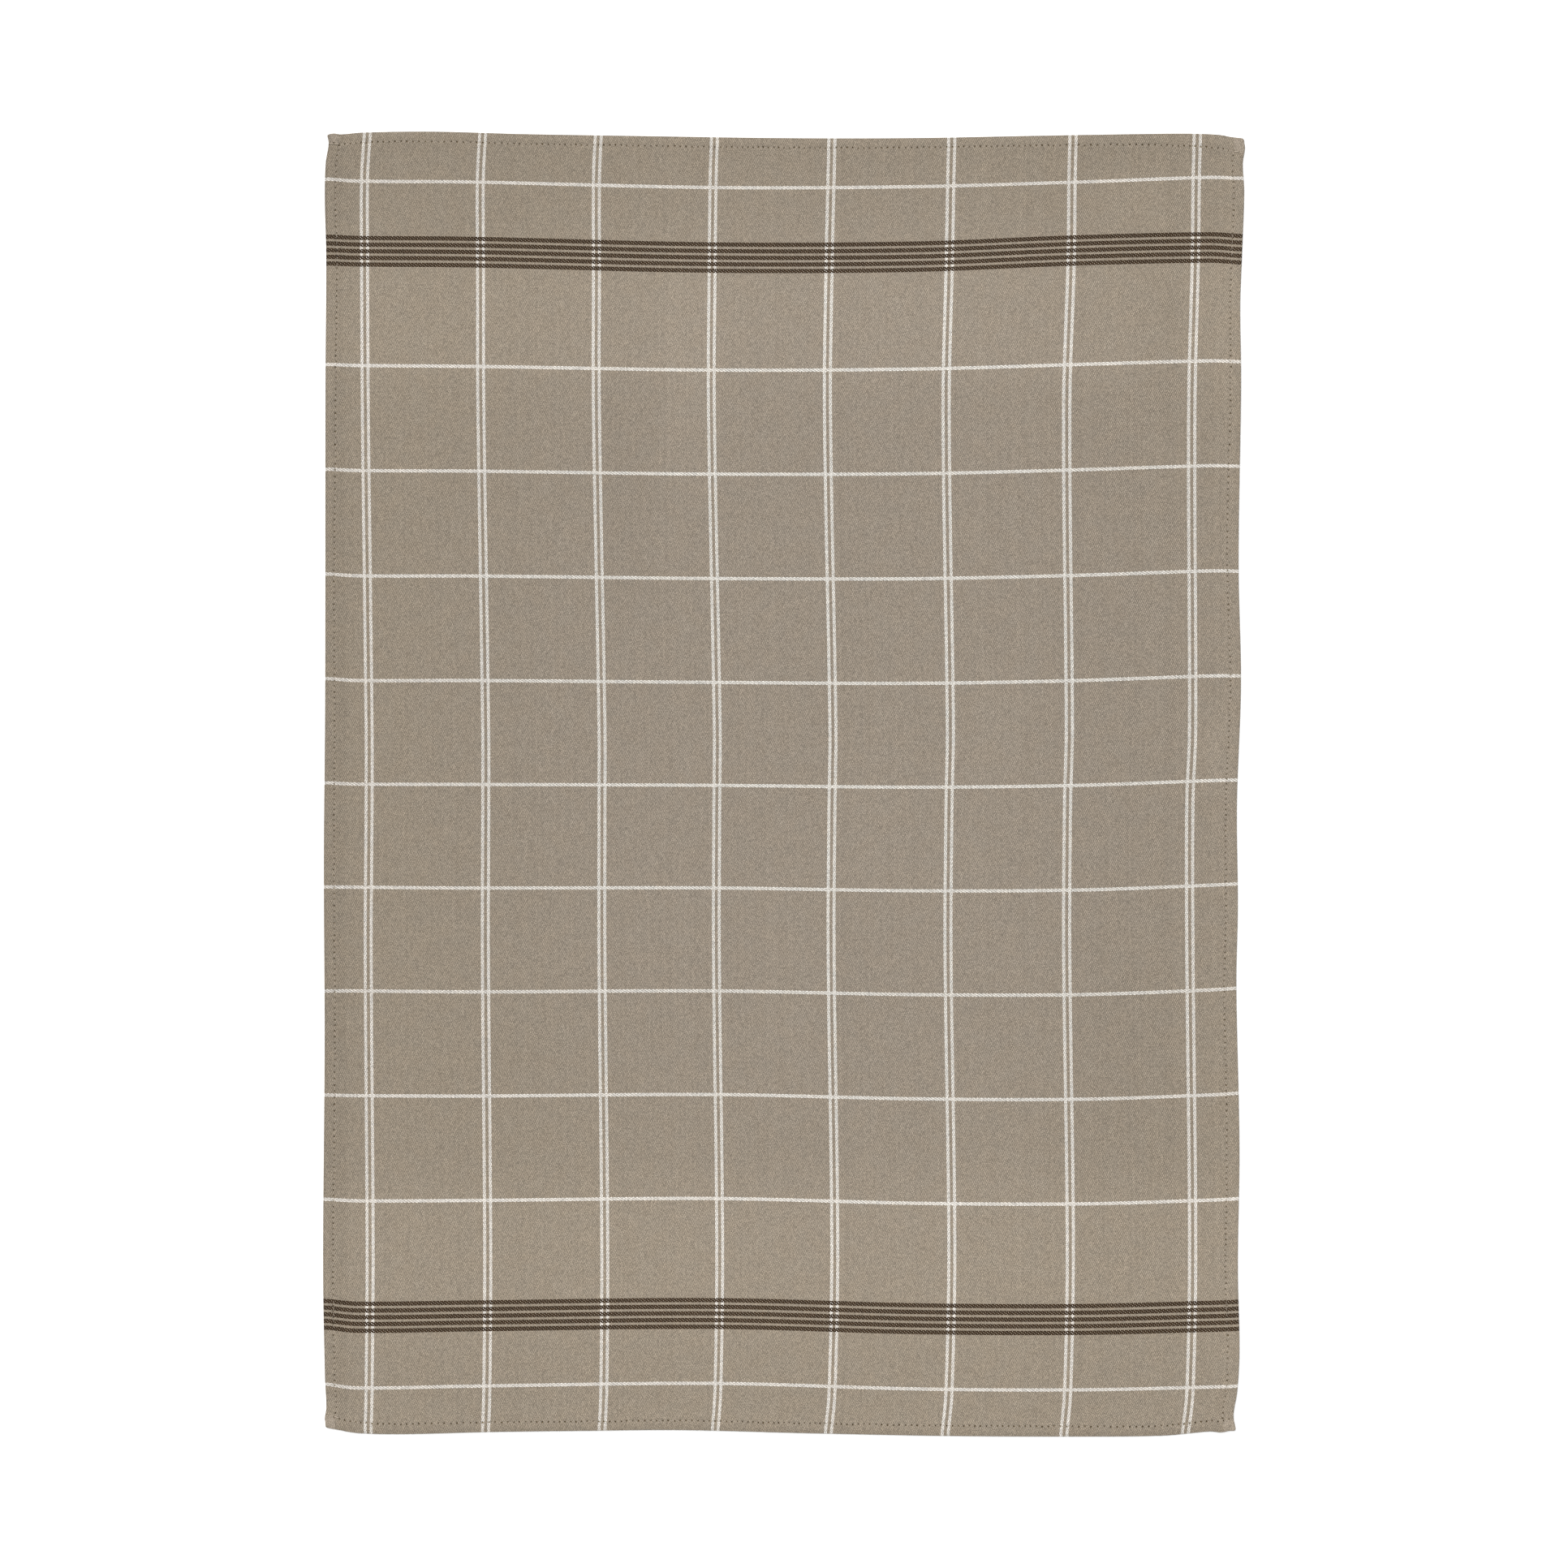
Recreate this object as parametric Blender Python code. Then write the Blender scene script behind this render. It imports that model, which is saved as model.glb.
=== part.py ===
"""A striped tea towel: one piece of cotton satin, hemmed on all four sides, that lies flat and face up.

Units are metres, unless a name or a table says millimetres. +Z is up and +Y runs along the towel. The origin
is under the towel's middle, on the surface that it lies on.
"""

from bisect import bisect_right
from collections import namedtuple
from math import cos, exp, radians, sin

import bmesh
import bpy

MM = 0.001

# The hemmed towel is 50 by 70 cm, less what the cloth has shrunk.
WIDTH = 497.0 * MM
LENGTH = 705.0 * MM

# The solid's thickness away from the folds and hems, and the least that a trough leaves.
CLOTH = 1.3 * MM
THINNEST = 1.0 * MM

# How far apart the grid's lines are between the hems.
GRID_STEP = 12.5 * MM

# The rounding of the rim, above and below, and what a corner's tip is pulled in by.
TOP_ROUND = 0.7 * MM
UNDER_ROUND = 0.3 * MM
CORNER_ROUND = 0.4 * MM

# The cloth's mean colour: the beige ground with its woven shadows.
BEIGE = (0.335, 0.281, 0.220)

# Where two hems cross at a corner, the lower one adds this share of its own rise.
CROSSED_HEM = 0.4

# The hem's cross-section: how far in from the edge, and how far above the cloth, in millimetres.
HemRow = namedtuple("HemRow", "inward rise")
HEM = (
    HemRow(0.0, 0.40),
    HemRow(2.2, 0.62),
    HemRow(4.6, 0.58),
    HemRow(5.7, 0.28),  # the line of stitches draws the hem in
    HemRow(6.8, 0.52),
    HemRow(9.5, 0.34),
    HemRow(14.0, 0.12),
    HemRow(21.0, 0.0),
)

# Each edge's line, in millimetres: where along it, from the towel's middle, and how far out from a straight
# edge. The first and last rows are the corners. The left and right edges run up, the others to the right.
EdgeRow = namedtuple("EdgeRow", "along out")
LEFT_EDGE = (
    EdgeRow(-349.3, 0.7),
    EdgeRow(-347.6, 1.0),
    EdgeRow(-341.6, 0.1),
    EdgeRow(-325.0, 0.9),
    EdgeRow(-264.0, 1.9),
    EdgeRow(-143.0, 1.1),
    EdgeRow(-44.0, 1.5),
    EdgeRow(44.0, 0.8),
    EdgeRow(220.0, 0.6),
    EdgeRow(286.0, 0.2),
    EdgeRow(318.0, 1.0),
    EdgeRow(337.0, 0.5),
    EdgeRow(347.4, -1.1),
    EdgeRow(352.6, -0.2),
)
RIGHT_EDGE = (
    EdgeRow(-351.2, -3.2),
    EdgeRow(-343.8, -4.4),
    EdgeRow(-331.0, -2.3),
    EdgeRow(-308.0, -1.1),
    EdgeRow(-264.0, -2.0),
    EdgeRow(-198.0, -1.1),
    EdgeRow(-110.0, -2.8),
    EdgeRow(-66.0, -2.0),
    EdgeRow(-11.0, -2.5),
    EdgeRow(55.0, -0.3),
    EdgeRow(121.0, -1.6),
    EdgeRow(220.0, -0.3),
    EdgeRow(262.0, -0.7),
    EdgeRow(287.0, 0.2),
    EdgeRow(324.0, 1.5),
    EdgeRow(339.0, 0.7),
    EdgeRow(347.8, 1.9),
    EdgeRow(350.0, 1.5),
)
BOTTOM_EDGE = (
    EdgeRow(-249.2, -3.1),
    EdgeRow(-243.0, -2.0),
    EdgeRow(-230.6, 0.1),
    EdgeRow(-205.0, 0.6),
    EdgeRow(-161.0, -0.5),
    EdgeRow(-108.0, -1.2),
    EdgeRow(-55.0, -1.6),
    EdgeRow(15.0, 0.1),
    EdgeRow(86.0, 1.5),
    EdgeRow(156.0, 1.9),
    EdgeRow(209.0, 1.4),
    EdgeRow(235.0, -0.9),
    EdgeRow(240.0, -0.3),
    EdgeRow(245.3, -1.2),
)
TOP_EDGE = (
    EdgeRow(-248.4, 0.3),
    EdgeRow(-244.7, 0.9),
    EdgeRow(-241.2, 0.4),
    EdgeRow(-228.9, 1.4),
    EdgeRow(-192.0, 1.9),
    EdgeRow(-143.0, 0.6),
    EdgeRow(-90.0, -0.3),
    EdgeRow(-2.0, -1.6),
    EdgeRow(68.0, -1.6),
    EdgeRow(138.0, -0.3),
    EdgeRow(191.0, 0.6),
    EdgeRow(220.0, 0.8),
    EdgeRow(235.5, 0.1),
    EdgeRow(241.0, -1.0),
    EdgeRow(247.8, -1.8),
    EdgeRow(250.0, -2.5),
)

# The soft folds that the cloth lies in, in millimetres and degrees: the fold's middle, its half length, its
# half width, its height (below zero for a trough), and how far its line is turned from +X.
Fold = namedtuple("Fold", "x y half_length half_width height turn")
FOLDS = (
    Fold(10.0, 200.0, 330.0, 50.0, 0.90, 1.5),  # the swell across the top end
    Fold(0.0, 150.0, 330.0, 80.0, 0.20, 0.0),  # its long slope towards the middle
    Fold(0.0, -322.0, 330.0, 58.0, 0.70, 0.0),  # the swell across the bottom end
    Fold(60.0, -85.0, 190.0, 66.0, 0.60, 8.0),  # the low rise right of the middle
    Fold(-236.0, 30.0, 160.0, 34.0, 0.45, 90.0),  # along the left hem
    Fold(-57.0, 168.0, 118.0, 20.0, -0.50, -82.0),  # the long trough, left of the middle
    Fold(-16.0, 0.0, 74.0, 18.0, -0.34, -74.0),
    Fold(54.0, 74.0, 66.0, 18.0, -0.34, 78.0),
    Fold(79.0, -24.0, 88.0, 18.0, -0.36, 76.0),
    Fold(96.0, 240.0, 78.0, 26.0, 0.42, 30.0),  # slants up to the right, under the top stripes
    Fold(200.0, 218.0, 50.0, 20.0, 0.32, -66.0),
    Fold(164.0, 309.0, 40.0, 22.0, -0.34, 70.0),
    Fold(166.0, -160.0, 74.0, 24.0, 0.42, -72.0),
    Fold(-120.0, -120.0, 96.0, 28.0, 0.26, 20.0),
    Fold(-150.0, 44.0, 86.0, 26.0, 0.24, -28.0),
)


def smooth_curve(rows, at):
    """The value at a place on a smooth curve through (place, value) rows, level beyond their ends."""
    if at <= rows[0][0]:
        return rows[0][1]
    if at >= rows[-1][0]:
        return rows[-1][1]
    after = bisect_right([row[0] for row in rows], at)
    before = after - 1

    def slope(middle):
        left = rows[max(middle - 1, 0)]
        right = rows[min(middle + 1, len(rows) - 1)]
        return (right[1] - left[1]) / (right[0] - left[0])

    span = rows[after][0] - rows[before][0]
    t = (at - rows[before][0]) / span
    return (
        rows[before][1] * (1 + 2 * t) * (1 - t) ** 2
        + rows[after][1] * t * t * (3 - 2 * t)
        + slope(before) * span * t * (1 - t) ** 2
        - slope(after) * span * t * t * (1 - t)
    )


def edge_out(edge, along):
    """How far an edge lies outside its straight line, in metres."""
    return smooth_curve(edge, along / MM) * MM


def outline_box(x, y):
    """The left, right, bottom and top limits of the cloth at a place, from the four edges' lines."""
    left = -WIDTH / 2 - edge_out(LEFT_EDGE, y)
    right = WIDTH / 2 + edge_out(RIGHT_EDGE, y)
    bottom = -LENGTH / 2 - edge_out(BOTTOM_EDGE, x)
    top = LENGTH / 2 + edge_out(TOP_EDGE, x)
    return left, right, bottom, top


def grid_lines(size):
    """The grid's lines across one direction, as (share of the way, inset from there) pairs.

    The hem's lines keep their distance from the edge, and those between them are evenly spread.
    """
    hem = [row.inward * MM for row in HEM]
    between = size - 2 * hem[-1]
    count = round(between / GRID_STEP)
    lines = [(0.0, inward) for inward in hem]
    lines += [(step / count, hem[-1] * (1 - 2 * step / count)) for step in range(1, count)]
    lines += [(1.0, -inward) for inward in reversed(hem)]
    return lines


def on_line(line, low, high):
    """Where a grid line runs between two limits."""
    share, inset = line
    return low + (high - low) * share + inset


def fold_height(x, y):
    """The height that all the soft folds together add at a place."""
    total = 0.0
    for fold in FOLDS:
        turn = radians(fold.turn)
        dx = x - fold.x * MM
        dy = y - fold.y * MM
        along = (dx * cos(turn) + dy * sin(turn)) / (fold.half_length * MM)
        across = (dy * cos(turn) - dx * sin(turn)) / (fold.half_width * MM)
        total += fold.height * MM * exp(-across**2 - along**4)
    return total


def top_height(x, y, from_side, from_end):
    """The height of the towel's face, from its place and its distances to the nearest side and end."""
    side_hem = smooth_curve(HEM, from_side / MM) * MM
    end_hem = smooth_curve(HEM, from_end / MM) * MM
    hem = max(side_hem, end_hem) + CROSSED_HEM * min(side_hem, end_hem)
    return max(CLOTH + fold_height(x, y), THINNEST) + hem


def lay_out_grid(mesh, columns, rows):
    """Moves a flat square grid's corners to the towel's outline, and returns each one's distances to the
    nearest side and end."""
    distances = {}
    for vert in mesh.verts:
        column = round((vert.co.x + 1) / 2 * (len(columns) - 1))
        row = round((vert.co.y + 1) / 2 * (len(rows) - 1))
        straight_x = on_line(columns[column], -WIDTH / 2, WIDTH / 2)
        straight_y = on_line(rows[row], -LENGTH / 2, LENGTH / 2)
        left, right, bottom, top = outline_box(straight_x, straight_y)
        vert.co.x = on_line(columns[column], left, right)
        vert.co.y = on_line(rows[row], bottom, top)
        from_side = min(vert.co.x - left, right - vert.co.x)
        from_end = min(vert.co.y - bottom, top - vert.co.y)
        if from_side < MM / 10 and from_end < MM / 10:
            vert.co.x -= CORNER_ROUND if vert.co.x > 0 else -CORNER_ROUND
            vert.co.y -= CORNER_ROUND if vert.co.y > 0 else -CORNER_ROUND
        distances[vert] = (from_side, from_end)
    return distances


def rim_edges(mesh, on_top):
    """The edges round the face, or round the underside, where it meets the side wall."""
    found = []
    for edge in mesh.edges:
        steep = [abs(face.normal.z) < 0.5 for face in edge.link_faces]
        level = [face.normal.z > 0.5 if on_top else face.normal.z < -0.5 for face in edge.link_faces]
        if any(steep) and any(level):
            found.append(edge)
    return found


def make_towel():
    """The towel as one solid: its face follows the folds and hems, and its underside is flat."""
    mesh = bmesh.new()
    columns = grid_lines(WIDTH)
    rows = grid_lines(LENGTH)
    bmesh.ops.create_grid(mesh, x_segments=len(columns) - 1, y_segments=len(rows) - 1, size=1)
    distances = lay_out_grid(mesh, columns, rows)
    heights = {vert: top_height(vert.co.x, vert.co.y, *distances[vert]) for vert in mesh.verts}

    # The grid is the face. Its rim is drawn down to the surface and closed by one flat underside.
    wall = bmesh.ops.extrude_edge_only(mesh, edges=[edge for edge in mesh.edges if edge.is_boundary])
    for vert, height in heights.items():
        vert.co.z = height
    lowest = [item for item in wall["geom"] if isinstance(item, bmesh.types.BMEdge) and item.is_boundary]
    bmesh.ops.contextual_create(mesh, geom=lowest)
    bmesh.ops.recalc_face_normals(mesh, faces=mesh.faces[:])
    for on_top, radius, segments in ((True, TOP_ROUND, 2), (False, UNDER_ROUND, 1)):
        bmesh.ops.bevel(
            mesh,
            geom=rim_edges(mesh, on_top),
            offset=radius,
            segments=segments,
            affect="EDGES",
            profile=0.5,
            clamp_overlap=True,
        )
    for face in mesh.faces:
        face.smooth = face.normal.z > 0

    data = bpy.data.meshes.new("towel")
    mesh.to_mesh(data)
    mesh.free()
    towel = bpy.data.objects.new("towel", data)
    bpy.context.scene.collection.objects.link(towel)
    return towel


def cotton(name, colour):
    """A matt woven cotton."""
    material = bpy.data.materials.new(name)
    material.use_nodes = True
    shader = material.node_tree.nodes["Principled BSDF"]
    shader.inputs["Base Color"].default_value = (*colour, 1.0)
    shader.inputs["Roughness"].default_value = 0.9
    shader.inputs["Metallic"].default_value = 0.0
    return material


for old in list(bpy.data.objects):
    bpy.data.objects.remove(old, do_unlink=True)

towel = make_towel()
towel.data.materials.append(cotton("beige cotton", BEIGE))
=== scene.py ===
"""A striped tea towel of cotton satin, as it lies flat and face up on a pale floor in soft light.

Lengths are metres, unless a name or a table says millimetres. +Z is up and +Y runs along the towel.
"""

from bisect import bisect_right
from collections import namedtuple
from functools import partialmethod
from math import atan2, cos, exp, hypot, pi, radians, sin

import bmesh
import bpy
from bpy.props import FloatProperty, FloatVectorProperty, IntProperty, PointerProperty
from bpy.types import Operator, Panel, PropertyGroup
from mathutils import Matrix, Vector, noise


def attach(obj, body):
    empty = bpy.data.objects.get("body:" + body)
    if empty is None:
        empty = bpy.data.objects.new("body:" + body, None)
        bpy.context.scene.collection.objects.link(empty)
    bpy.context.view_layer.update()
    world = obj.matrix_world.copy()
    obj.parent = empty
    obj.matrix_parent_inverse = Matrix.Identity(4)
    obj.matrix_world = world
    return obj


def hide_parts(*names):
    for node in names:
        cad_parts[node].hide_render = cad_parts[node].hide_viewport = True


bl_info = {
    "name": "Striped Tea Towel",
    "version": (1, 0, 0),
    "blender": (4, 5, 0),
    "location": "3D View > Sidebar > Tea Towel",
    "description": "Weaves, hems and lays out a striped tea towel",
    "category": "Add Mesh",
}

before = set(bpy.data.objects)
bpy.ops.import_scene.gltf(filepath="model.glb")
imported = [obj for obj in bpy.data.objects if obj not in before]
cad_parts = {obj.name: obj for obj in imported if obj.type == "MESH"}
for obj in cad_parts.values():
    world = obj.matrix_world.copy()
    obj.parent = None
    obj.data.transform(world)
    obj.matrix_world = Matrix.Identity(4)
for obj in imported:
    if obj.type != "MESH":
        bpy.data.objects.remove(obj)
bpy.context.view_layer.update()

MM = 0.001

# The outline, folds and hems follow the towel's solid, so the cloth lies in the same space.
WIDTH = 497.0 * MM
LENGTH = 705.0 * MM
SOLID_CLOTH = 1.3 * MM
SOLID_THINNEST = 1.0 * MM
CROSSED_HEM = 0.4

# The hem: how far in from the edge, and how far above the cloth, in millimetres. The stitches draw it in.
HEM = (
    (0, 0.3), (2.2, 0.56), (4.6, 0.57), (5.7, 0.52), (6.8, 0.52), (9.5, 0.34), (14, 0.12), (21, 0),
)
SEAM_IN_HEM = 5.7
# The folded edge itself is pressed thinner.
PRESSED_SHARE = 0.25
PRESSED_REACH = 1.6 * MM

# Each edge: a place along it, and how far out from a straight line the cloth reaches there, in millimetres.
LEFT_EDGE = (
    (-349.3, 0.7), (-347.6, 1), (-341.6, 0.1), (-325, 0.9), (-264, 1.9), (-143, 1.1), (-44, 1.5),
    (44, 0.8), (220, 0.6), (286, 0.2), (318, 1), (337, 0.5), (347.4, -1.1), (352.6, -0.2),
)
RIGHT_EDGE = (
    (-351.2, -3.2), (-343.8, -4.4), (-331, -2.3), (-308, -1.1), (-264, -2), (-198, -1.1), (-110, -2.8),
    (-66, -2), (-11, -2.5), (55, -0.3), (121, -1.6), (220, -0.3), (262, -0.7), (287, 0.2), (324, 1.5),
    (339, 0.7), (347.8, 1.9), (350, 1.5),
)
BOTTOM_EDGE = (
    (-249.2, -3.1), (-243, -2), (-230.6, 0.1), (-205, 0.6), (-161, -0.5), (-108, -1.2), (-55, -1.6),
    (15, 0.1), (86, 1.5), (156, 1.9), (209, 1.4), (235, -0.9), (240, -0.3), (245.3, -1.2),
)
TOP_EDGE = (
    (-248.4, 0.3), (-244.7, 0.9), (-241.2, 0.4), (-228.9, 1.4), (-192, 1.9), (-143, 0.6), (-90, -0.3),
    (-2, -1.6), (68, -1.6), (138, -0.3), (191, 0.6), (220, 0.8), (235.5, 0.1), (241, -1), (247.8, -1.8),
    (250, -2.5),
)

Fold = namedtuple("Fold", "x y half_length half_width height turn")
FOLDS = (
    Fold(10, 200, 330, 50, 0.9, 1.5),  # the swell across the top end
    Fold(0, 150, 330, 80, 0.2, 0),  # its long slope towards the middle
    Fold(0, -322, 330, 58, 0.7, 0),  # the swell across the bottom end
    Fold(60, -85, 190, 66, 0.6, 8),  # the low rise right of the middle
    Fold(-236, 30, 160, 34, 0.45, 90),  # along the left hem
    Fold(-57, 168, 118, 20, -0.5, -82),  # the long trough, left of the middle
    Fold(-16, 0, 74, 18, -0.34, -74),
    Fold(54, 74, 66, 18, -0.34, 78),
    Fold(79, -24, 88, 18, -0.36, 76),
    Fold(96, 240, 78, 26, 0.42, 30),  # slants up to the right, under the top stripes
    Fold(200, 218, 50, 20, 0.32, -66),
    Fold(164, 309, 40, 22, -0.34, 70),
    Fold(166, -160, 74, 24, 0.42, -72),
    Fold(-120, -120, 96, 28, 0.26, 20),
    Fold(-150, 44, 86, 26, 0.24, -28),
)

# The face of the cloth lies this far under the solid's, so that its troughs come down to the floor.
SINK = 0.35 * MM

# The stripes wander as the cloth has been pulled. A warp row says how far right of their even places the
# stripes lie at a height on the towel, in millimetres, at each of the places in WARP_DRIFT_AT. Only the
# bends have rows, given to half a millimetre.
WARP_DRIFT_AT = (-224.0, -96.0, 32.0, 160.0, 224.0)
WARP_MIDDLE = -4.9
WARP_DRIFT = (
    (-352, 3, 2, -3, -3, -1), (-330, 3.5, 3, -1, -1, 1.5), (-250, 4, 3.5, 0.5, 0.5, 3),
    (-90, 3, 2, -1.5, -1.5, 1.5), (-10, 3.5, 2, -1, -1, 1.5), (30, 3.5, 2, -0.5, 0, 3),
    (205, 1.5, -1, -3.5, -1.5, 2.5), (285, 1, -1, -2.5, 1, 4.5), (330, 1, -1, -1.5, 1.5, 5),
    (352, 2.5, 0, -1, 2, 5.5),
)

# A weft row says how far above their even places the stripes lie, at a place across the towel.
WEFT_DRIFT_AT = (-327.0, -113.0, 57.0, 227.0, 289.0, 327.0)
WEFT_DRIFT = (
    (-247, 1.5, 1, 0.5, 1, 1, 1), (-232, -0.5, 1, -0.5, 0.5, 0.5, 0),
    (-170, 0.5, 0.5, -0.5, 0, 0, -0.5), (-38, 2, 1, -1.5, -2, -3, -3.5),
    (72, -1, -1, -2, -1.5, -2.5, -3), (160, -1.5, -1, -0.5, 1, 1, -0.5), (231, 0, 1.5, 2, 3, 2.5, 2),
    (246, 0.5, 2.5, 2, 2.5, 1.5, 1.5),
)

# How the cloth's surface leans where it lies uneven, as a few soft swells: the middle of each and its half
# sizes in millimetres, and how much more it rises to the right and to the top, in LEAN_STEPs.
LEAN_STEP = 0.018
ALL = 2000.0  # half a size that reaches well past the towel
Swell = namedtuple("Swell", "x y half_width half_length right up")
SWELLS = (
    Swell(0, 255, ALL, 34, 0, -18),  # the light rows inside the two end bands
    Swell(0, -262, ALL, 44, 0, -18),
    Swell(0, -335, ALL, 26, 0, -4),
    Swell(0, 335, ALL, 30, 0, 4),
    Swell(0, 0, ALL, 190, 0, 2),
    Swell(-250, 0, 14, ALL, -8, 0),  # darker along the left hem, and by it
    Swell(-190, 0, 90, ALL, -5, 0),
    Swell(190, 0, 50, ALL, -4, 0),
    Swell(250, 0, 10, ALL, 6, 0),
    Swell(-54, 225, 14, 62, 8, 0),  # the light streak beside the long trough
    Swell(-86, 150, 16, 60, -4, 0),
    Swell(5, -110, 18, 60, 5, 0),
    Swell(50, -25, 20, 45, 4, 0),
    Swell(115, 30, 14, 28, 5, 0),
    Swell(235, 15, 9, 20, 15, 0),  # the light spot on the right hem
    Swell(206, 245, 14, 44, -5, 0),
    Swell(195, 318, 28, 16, 9, 0),
    Swell(185, -150, 32, 60, -3, 0),
    Swell(-248, -345, 8, 10, 8, 0),
)

# The folded edges roll over, and lean this much more the nearer they are.
EDGE_LEAN = {"left": -26.0, "right": 36.0, "bottom": -8.0, "top": 17.0}
EDGE_LEAN_REACH = 1.7 * MM

# The weave's plan, counted in threads: a five-end satin.
SATIN = 5
SATIN_STEP = 2
SATIN_BACK_STEP = 3
PAIR_EVERY = 156
PAIR_FIRST = 78
PAIR_OUTER = 6
PAIR_INNER = 2
LINE_EVERY = 125
LINE_HALF = 2
LINES_REACH = 510
END_LINE_AT = 722
BAND_AT = 637
LOWER_BAND_FURTHER = 1
BAND_HALF = 18
BAND_EVERY = 8
BAND_LINE = 4
BAND_REACH = 20
BROWN_SPREAD = 1.29  # the brown yarn is soft and thick, and spreads over its neighbours

# The four seams: a place along each, and how far in from the edge it is sewn there, in millimetres.
SEAMS = {
    "left": ((-345, 5.6), (-100, 5.9), (30, 5.6), (105, 5), (180, 5.8), (346, 6.1)),
    "right": ((-342, 6.2), (-240, 6.9), (-90, 6.6), (50, 5.9), (150, 6.3), (250, 5.6), (331, 5.7)),
    "bottom": (
        (-248, 6.5), (-243, 7.2), (-240, 6.3), (-195, 5.6), (-90, 5.2), (80, 5.8), (220, 5.6),
        (238, 6.4),
    ),
    "top": ((-245, 5.6), (104, 5.4), (180, 5.9), (209, 6.6), (238, 7.7)),
}
# At these corners the end seam's last stitches lie loose and pale on the thick crossing of the hems.
LOOSE_CORNERS = (("bottom", "left"), ("top", "left"), ("top", "right"))
# At these its needle holes stay open to the very edge.
OPEN_CORNERS = (("bottom", "right"), ("top", "left"))

# A seam stops this far short of the edge, and leaves out an end stitch under this share of a whole one.
SEAM_SHORT = 0.8 * MM
SHORTEST_STITCH = 0.3
LOOSE_THICKER = 0.35

# The stitch's line between two needle holes: the share of its length, and its height in millimetres.
STITCH = (
    (-0.47, -0.34), (-0.41, -0.1), (-0.26, 0), (0, 0.03), (0.26, 0), (0.41, -0.1), (0.47, -0.34),
)


def length(name, description, default):
    """A setting in metres."""
    return FloatProperty(name=name, description=description, default=default, unit="LENGTH", precision=5)


def angle(name, description, degrees):
    """A setting for an angle."""
    return FloatProperty(name=name, description=description, default=radians(degrees), subtype="ANGLE")


def strength(name, description, default):
    """A setting for a plain number."""
    return FloatProperty(name=name, description=description, default=default)


def paint(name, description, default):
    """A setting for a colour."""
    return FloatVectorProperty(
        name=name, description=description, default=default, subtype="COLOR", min=0.0, max=1.0
    )


class ClothSettings(PropertyGroup):
    """The cloth's threads, thickness and colours."""

    end_pitch: length("Warp spacing", "From one warp thread to the next", 0.41 * MM)
    pick_pitch: length("Weft spacing", "From one weft thread to the next", 0.4535 * MM)
    thickness: length("Thickness", "Of one layer of the cloth", 0.5 * MM)
    relief: length("Relief", "How far the threads stand out of the weave", 0.10 * MM)
    mesh_step: length("Mesh step", "The size of the mesh's squares between the hems", 4.0 * MM)
    beige: paint("Ground yarn", "The yarn of the ground", (0.2846, 0.2392, 0.1893))
    white: paint("White yarn", "The yarn of the fine stripes", (0.616, 0.589, 0.54))
    brown: paint("Brown yarn", "The yarn of the end bands", (0.032, 0.0165, 0.006))


class HemSettings(PropertyGroup):
    """The hems and their stitches."""

    width: length("Hem width", "Of the finished hem, on the back", 7.2 * MM)
    turned_in: length("Turned in", "The raw edge inside the hem", 6.3 * MM)
    edge_round: length("Edge roundness", "The radius of the folded edge", 0.55 * MM)
    corner_round: length("Corner roundness", "The radius of a corner, seen from above", 0.9 * MM)
    stitch: length("Stitch length", "From one needle hole to the next", 3.1 * MM)
    thread: length("Thread thickness", "The sewing thread's diameter", 0.28 * MM)
    thread_sides: IntProperty(name="Thread sides", description="Of the thread's tube", default=6, min=3)
    thread_colour: paint("Thread colour", "The sewing thread", (0.40, 0.34, 0.275))


class StageSettings(PropertyGroup):
    """The floor, the light and the camera."""

    camera_height: length("Camera height", "From the floor to the camera", 2.0116)
    lens: strength("Lens", "The camera's focal length, in millimetres", 85.0)
    floor_size: length("Floor size", "The side of the square floor", 8.0)
    floor_colour: paint("Floor colour", "The plain pale floor", (0.96, 0.96, 0.96))
    glow: strength("Floor glow", "The even light that comes up through the floor", 0.12)
    fill: strength("Fill light", "The even light from all round", 0.45)
    key: strength("Main light", "The strength of the large soft light", 3.11)
    key_height: angle("Main light height", "How far the soft light stands above the horizon", 54.0)
    key_turn: angle("Main light direction", "Where the soft light stands, turned from +X towards +Y", 128.0)
    key_spread: angle("Main light spread", "How large the soft light looks from the towel", 55.0)


# ---------------------------------------------------------------- shapes


def smooth_curve(rows, at):
    """The value at a place on a smooth curve through (place, value) rows, level beyond their ends."""
    if at <= rows[0][0]:
        return rows[0][1]
    if at >= rows[-1][0]:
        return rows[-1][1]
    after = bisect_right([row[0] for row in rows], at)
    before = after - 1

    def slope(middle):
        left = rows[max(middle - 1, 0)]
        right = rows[min(middle + 1, len(rows) - 1)]
        return (right[1] - left[1]) / (right[0] - left[0])

    span = rows[after][0] - rows[before][0]
    t = (at - rows[before][0]) / span
    return (
        rows[before][1] * (1 + 2 * t) * (1 - t) ** 2
        + rows[after][1] * t * t * (3 - 2 * t)
        + slope(before) * span * t * (1 - t) ** 2
        - slope(after) * span * t * t * (1 - t)
    )


def smooth_step(low, high, value):
    """0 at low, 1 at high, and smooth between them."""
    t = min(max((value - low) / (high - low), 0.0), 1.0)
    return t * t * (3 - 2 * t)


def edge_out(edge, along):
    """How far an edge lies outside its straight line, in metres."""
    return smooth_curve(edge, along / MM) * MM


# The edges in the order of outline_box.
EDGES = ("left", "right", "bottom", "top")


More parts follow.
